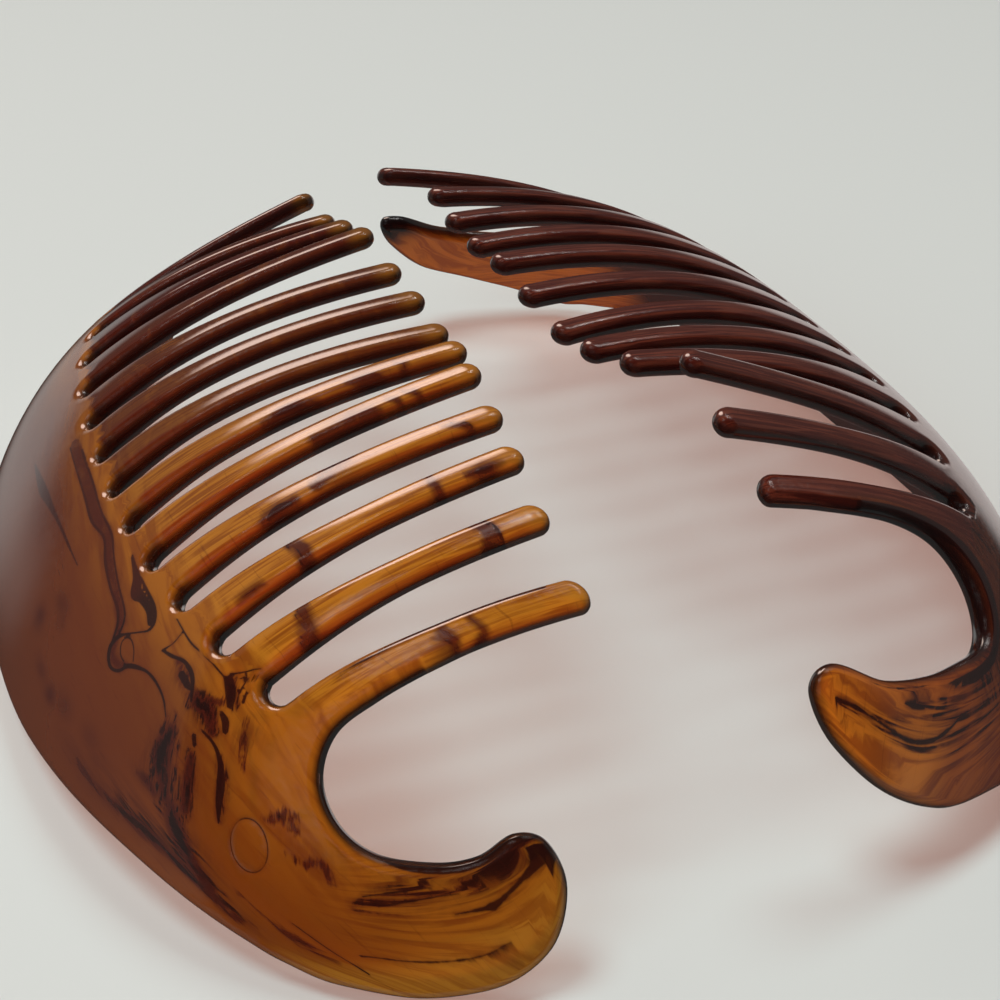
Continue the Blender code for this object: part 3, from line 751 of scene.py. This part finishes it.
# a node with its settings, and for each input named a value or a socket to link
def newNode(tree, kind, label="", inputs=None, **settings):
    node = tree.nodes.new(kind)
    node.label = label
    for key, value in settings.items():
        setattr(node, key, value)
    for key, value in (inputs or {}).items():
        socket = node.inputs[key]
        if isinstance(value, bpy.types.NodeSocket):
            tree.links.new(value, socket)
        else:
            socket.default_value = (*value, 1) if socket.type == "RGBA" else value
    return node


def newGroup(name, inputs, output):
    group = bpy.data.node_groups.new(name, "ShaderNodeTree")
    for label, kind, value in inputs:
        socket = group.interface.new_socket(label, in_out="INPUT", socket_type="NodeSocket" + kind)
        if value is not None:
            socket.default_value = value
    group.interface.new_socket(output, in_out="OUTPUT", socket_type="NodeSocketFloat")
    return group, newNode(group, "NodeGroupInput").outputs


# noise stretched along a direction in the flat plane, for the flow of the moulding
def makeGrain():
    group, given = newGroup(
        "grain", [("Place", "Vector", None), ("Angle", "Vector", None), ("Scale", "Vector", None),
                  ("Detail", "Float", 3.0), ("Distortion", "Float", 0.6)], "Grain")
    turned = newNode(group, "ShaderNodeMapping", "turn, then stretch", {
        "Vector": given["Place"], "Rotation": given["Angle"], "Scale": given["Scale"]},
        vector_type="TEXTURE")
    noise = newNode(group, "ShaderNodeTexNoise", "grain", {
        "Vector": turned.outputs["Vector"], "Scale": 1.0, "Detail": given["Detail"],
        "Distortion": given["Distortion"]})
    newNode(group, "NodeGroupOutput", inputs={"Grain": noise.outputs["Fac"]})
    return group


# mask from a distance to a stroke, its edge broken up by a grain
def makeStain():
    group, given = newGroup(
        "stain", [("Distance", "Float", 0.0), ("Grain", "Float", 0.5), ("Ragged", "Float", 0.2),
                  ("Softness", "Float", 0.1)], "Mask")
    centred = newNode(group, "ShaderNodeMath", "about zero", {0: given["Grain"], 1: 0.5},
                      operation="SUBTRACT")
    broken = newNode(group, "ShaderNodeMath", "broken edge", {
        0: centred.outputs[0], 1: given["Ragged"], 2: given["Distance"]}, operation="MULTIPLY_ADD")
    inner = newNode(group, "ShaderNodeMath", "inner edge", {0: given["Softness"], 1: -1.0},
                    operation="MULTIPLY")
    mask = newNode(group, "ShaderNodeMapRange", "mask", {
        "Value": broken.outputs[0], "From Min": inner.outputs[0], "From Max": given["Softness"],
        "To Min": 1.0, "To Max": 0.0}, interpolation_type="SMOOTHSTEP")
    newNode(group, "NodeGroupOutput", inputs={"Mask": mask.outputs["Result"]})
    return group


groups = {"grain": makeGrain(), "stain": makeStain()}

# grains: angle in degrees, stretch along and across, detail, distortion
# melt: fine lines that run with the melt along a tooth or round a hook
grains = {
    "flow": {"angle": 12.0, "scale": (9.0, 1.6, 2.0), "detail": 4.0, "distortion": 0.9},
    "dashes": {"angle": 57.0, "scale": (1.5, 0.3, 2.0), "detail": 3.0, "distortion": 0.6},
    "streaks": {"angle": 4.0, "scale": (3.0, 0.28, 2.0), "detail": 3.0, "distortion": 0.4},
    "clouds": {"angle": 0.0, "scale": (3.2, 2.2, 3.0), "detail": 3.0, "distortion": 1.2},
    "melt": {"angle": 0.0, "scale": (0.3, 8.0, 1.0), "detail": 4.0, "distortion": 0.7},
}


def tortoiseshell(name, look):
    material = bpy.data.materials.new(name)
    material.use_nodes = True
    tree = material.node_tree
    tree.nodes.clear()

    # vector kept on the points of the piece, and its three parts
    def kept(label, parts):
        vector = newNode(tree, "ShaderNodeAttribute", label, attribute_name=label).outputs["Vector"]
        return vector, newNode(tree, "ShaderNodeSeparateXYZ", parts, {0: vector}).outputs

    def grain(kind, place):
        values = grains[kind]
        node = newNode(tree, "ShaderNodeGroup", kind, {
            "Place": place, "Angle": (0, 0, math.radians(values["angle"])), "Scale": values["scale"],
            "Detail": values["detail"], "Distortion": values["distortion"]}, node_tree=groups["grain"])
        return node.outputs["Grain"]

    def stain(label, distance, noise):
        ragged, softness = strokeEdges[label]
        node = newNode(tree, "ShaderNodeGroup", label, {
            "Distance": distance, "Grain": noise, "Ragged": ragged, "Softness": softness},
            node_tree=groups["stain"])
        return node.outputs["Mask"]

    def span(label, value, *numbers):
        low, high, *strength = numbers or ranges[label]
        start, end = strength or (0.0, 1.0)
        node = newNode(tree, "ShaderNodeMapRange", label, {
            "Value": value, "From Min": low, "From Max": high, "To Min": start, "To Max": end},
            interpolation_type="SMOOTHSTEP")
        return node.outputs["Result"]

    def maths(label, operation, *values):
        node = newNode(tree, "ShaderNodeMath", label, dict(enumerate(values)), operation=operation)
        return node.outputs[0]

    def times(label, *values):
        return maths(label, "MULTIPLY", *values)

    # one colour over another, at the strength named for that layer
    def blend(label, factor, under, over):
        if label in strengths:
            factor = times(label, factor, strengths[label])
        node = newNode(tree, "ShaderNodeMix", label, {"Factor": factor, 6: under, 7: over},
                       data_type="RGBA")
        return node.outputs[2]

    def choose(label, factor, first, second):
        node = newNode(tree, "ShaderNodeMix", label, {"Factor": factor, 2: first, 3: second},
                       data_type="FLOAT")
        return node.outputs[0]

    cast, (y, arc, tooth) = kept("cast", "along, up, tooth")
    nearLine, nearRagged, cloud = kept("figure", "line, ragged, cloud")[1]
    shade, part, edge = kept("tone", "tooth shade, part, edge")[1]
    melted, meltParts = kept("flow", "across, along, seed")
    flow, dashes = grain("flow", cast), grain("dashes", cast)
    streaks, clouds = grain("streaks", cast), grain("clouds", cast)
    fineLines = grain("melt", melted)

    onHook, onTooth, offTeeth = span("hook", y), span("on a tooth", part), span("off teeth", part)
    upright = maths("hook or tooth", "MAXIMUM", onHook, span("up a tooth", part))
    bodyGrain = choose("grain by region", upright, flow, fineLines)
    lowGrain = choose("body grain", span("low on the body", arc), dashes, streaks)
    swirlGrain = choose("swirl grain", onHook, lowGrain, fineLines)
    middle = maths("tooth row", "MULTIPLY_ADD", tooth, shell["pitch"], look["firstTooth"])
    # painted light: a red glow on the near side of each tooth, as if lamp light shone through it
    nearSideGlow = span("near side", maths("from the middle", "SUBTRACT", y, middle))

    base = blend("lighter teeth", onTooth, look["amber"], look["toothAmber"])
    base = blend("deep amber", span("deep amber", bodyGrain), base, look["deep"])
    base = blend("deeper low down", span("deeper low down", arc), base, look["deep"])
    onBody = times("body only", span("away from the hook", y, *look["bodyFrom"]),
                   span("below", arc, *look["bodyBelow"]))
    base = blend("redder body", onBody, base, look["body"])
    base = blend("painted red glow on near side", times("near side", onTooth, nearSideGlow), base, look["red"])
    toothTone = blend("streaked teeth", span("tooth streaks", fineLines), look["tooth"], look["russet"])
    base = blend("dark teeth", times("shade", shade, span("tooth mottle", clouds)), base, toothTone)
    golden = onHook
    for mask in (span("outer side", meltParts[0], *look["outer"]), span("gold", edge, *look["goldDepth"]),
                 span("above", arc, *look["goldAbove"]), span("golden streaks", fineLines)):
        golden = times("golden", golden, mask)
    base = blend("golden rim", golden, base, look["honey"])

    smooth = maths("smooth", "MAXIMUM", onTooth, span("far swirls", y))
    texture = choose("cloud texture", smooth, span("cloud mottle", swirlGrain),
                     span("smooth mottle", clouds))
    base = blend("russet clouds", times("cloud", cloud, texture), base, look["russet"])
    marks = times("marks", span("marks", swirlGrain), span("in clouds", cloud))
    marks = times("marks in zone", marks, times("mark zone", span("mark zone", y), offTeeth))
    base = blend("dark marks", marks, base, look["ink"])
    base = blend("fine streaks", span("fine streaks", streaks), base, look["russet"])
    base = blend("ragged swirls", stain("ragged swirls", nearRagged, swirlGrain), base, look["russet"])
    core = stain("ragged cores", maths("deeper", "ADD", nearRagged, coreInset), swirlGrain)
    base = blend("ragged cores", core, base, look["ink"])
    base = blend("red halo", stain("red halo", nearLine, clouds), base, look["russet"])
    onTeeth = times("brown on teeth", onTooth, strengths["brown on teeth"])
    browner = maths("browner", "MAXIMUM", onTeeth, span("far lines", y))
    inkTone = blend("browner lines", browner, look["ink"], look["russet"])
    base = blend("swirl lines", stain("swirl lines", nearLine, flow), base, inkTone)

    # painted light: the far hook glows orange as if lit through from behind, with streaks and a dark tip
    farHookGlow = blend("orange streaks", span("hook streaks", fineLines), look["orange"], look["amber"])
    darkTip = times("dark tip", span("inner side", y), span("tip of the hook", arc))
    farHookGlow = blend("dark tip", darkTip, farHookGlow, look["ink"])
    farHook = times("far hook", span("far hook", y), look["farHook"])
    base = blend("orange far hook", farHook, base, farHookGlow)
    tips = times("tips", span("tip of a tooth", part), look["tips"])
    base = blend("pale tips", tips, base, look["honey"])
    # painted shade: near-black along every rounded edge, and further in along the wall's rim
    base = blend("dark rim", span("dark rim", edge), base, look["ink"])
    wallRimShade = times("wall rim", span("wall rim", edge, *look["rim"]), offTeeth)
    base = blend("dark rim of the wall", wallRimShade, base, look["ink"])

    scuffs = newNode(tree, "ShaderNodeTexNoise", "fine scuffs", {
        "Vector": cast, "Scale": finish["scuffSize"], "Detail": finish["scuffDetail"]})
    bump = newNode(tree, "ShaderNodeBump", "moulded waviness", {
        "Height": clouds, "Strength": finish["waviness"], "Distance": finish["waveHeight"]})
    shader = newNode(tree, "ShaderNodeBsdfPrincipled", "plastic", {
        "Base Color": base, "Roughness": span("gloss", scuffs.outputs["Fac"], *finish["gloss"]),
        "Normal": bump.outputs["Normal"], "IOR": finish["refraction"],
        "Transmission Weight": finish["transmission"]})
    shadow = newNode(tree, "ShaderNodeBsdfTransparent", "tinted shadow", {"Color": finish["shadowTint"]})
    rays = newNode(tree, "ShaderNodeLightPath", "rays")
    mix = newNode(tree, "ShaderNodeMixShader", "lamps pass through", {
        "Fac": rays.outputs["Is Shadow Ray"], 1: shader.outputs["BSDF"], 2: shadow.outputs["BSDF"]})
    newNode(tree, "ShaderNodeOutputMaterial", inputs={"Surface": mix.outputs["Shader"]})
    return material


for half, name in ((leftComb, "left"), (rightComb, "right")):
    piece = buildHalf(half)
    piece.data.materials.append(tortoiseshell(name + " tortoiseshell", plastic[name]))
    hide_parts(half["node"])
    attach(piece, "root")

# pale table
table = {"size": 3.0, "colour": (0.66, 0.68, 0.655), "roughness": 0.6}


def makeTable():
    side = table["size"] / 2
    mesh = bpy.data.meshes.new("tableTop")
    mesh.from_pydata([(-side, -side, 0), (side, -side, 0), (side, side, 0), (-side, side, 0)],
                     [], [(0, 1, 2, 3)])
    top = bpy.data.objects.new("tableTop", mesh)
    bpy.context.scene.collection.objects.link(top)
    material = bpy.data.materials.new("pale table")
    material.use_nodes = True
    shader = material.node_tree.nodes["Principled BSDF"]
    shader.inputs["Base Color"].default_value = (*table["colour"], 1)
    shader.inputs["Roughness"].default_value = table["roughness"]
    mesh.materials.append(material)
    top.visible_glossy = False      # the room shows in the gloss instead


makeTable()

# soft studio light: lamps that only light, and a room whose glows show in the gloss
lamps = [
    {"name": "overhead", "at": (-0.28, 0.06, 0.86), "aim": (0, 0, 0), "size": 0.36, "power": 4.2,
     "colour": (1.0, 0.99, 0.98)},
    {"name": "rightWindow", "at": (0.30, 0.25, 0.80), "aim": (0, 0, 0), "size": 0.36, "power": 2.6,
     "colour": (1.0, 0.99, 0.97)},
    {"name": "leftFill", "at": (-0.8, -0.5, 0.7), "aim": (0, 0, 0), "size": 0.8, "power": 5.0,
     "colour": (0.97, 1.0, 1.0)},
]
room = {
    "dim": (0.035, 0.038, 0.037),
    # towards, where the glow starts and is full, and its colour
    "glows": [
        {"towards": (-0.25, 0.95, -0.15), "from": 0.94, "to": 0.992, "colour": (0.32, 0.33, 0.32)},
        {"towards": (-0.02, 0.80, 0.60), "from": 0.965, "to": 0.99, "colour": (1.8, 1.4, 1.2)},
        {"towards": (0.62, 0.72, -0.31), "from": 0.93, "to": 0.985, "colour": (0.55, 0.50, 0.48)},
    ],
}


def makeLamps():
    for lamp in lamps:
        data = bpy.data.lights.new(lamp["name"], "AREA")
        data.shape = "DISK"
        data.size = lamp["size"]
        data.energy = lamp["power"]
        data.color = lamp["colour"]
        light = bpy.data.objects.new(lamp["name"], data)
        light.location = lamp["at"]
        light.visible_glossy = False
        facing = Vector(lamp["aim"]) - Vector(lamp["at"])
        light.rotation_euler = facing.to_track_quat("-Z", "Y").to_euler()
        bpy.context.scene.collection.objects.link(light)


def makeRoom():
    world = bpy.data.worlds.new("studio")
    world.use_nodes = True
    tree = world.node_tree
    direction = newNode(tree, "ShaderNodeTexCoord", "direction").outputs["Generated"]
    light = room["dim"]
    for glow in room["glows"]:
        facing = newNode(tree, "ShaderNodeVectorMath", "towards the glow", {
            0: direction, 1: Vector(glow["towards"]).normalized()}, operation="DOT_PRODUCT")
        reach = newNode(tree, "ShaderNodeMapRange", "reach", {
            "Value": facing.outputs["Value"], "From Min": glow["from"], "From Max": glow["to"]},
            interpolation_type="SMOOTHSTEP")
        light = newNode(tree, "ShaderNodeMix", "glow", {
            "Factor": reach.outputs["Result"], 6: light, 7: glow["colour"]},
            data_type="RGBA").outputs[2]
    tree.links.new(light, tree.nodes["Background"].inputs["Color"])
    bpy.context.scene.world = world


makeLamps()
makeRoom()

# camera at the photograph's angle
viewpoint = {
    "at": (-52.61, -148.13, 108.49), "right": (0.94065, -0.33937, 0.00229),
    "up": (0.18051, 0.50602, 0.84342), "lens": 69.87, "sensor": 36.0, "nearest": 0.01,
}


def makeCamera():
    data = bpy.data.cameras.new("photoCamera")
    data.lens = viewpoint["lens"]
    data.sensor_width = viewpoint["sensor"]
    data.clip_start = viewpoint["nearest"]
    right, up = Vector(viewpoint["right"]).normalized(), Vector(viewpoint["up"]).normalized()
    back = right.cross(up)
    turn = Matrix((right, up, back)).transposed().to_4x4()
    camera = bpy.data.objects.new("photoCamera", data)
    camera.matrix_world = Matrix.Translation(Vector(viewpoint["at"]) * mm) @ turn
    bpy.context.scene.collection.objects.link(camera)
    bpy.context.scene.camera = camera


makeCamera()
bpy.context.scene.view_settings.view_transform = "Standard"
print("stage: table, lamps and camera")
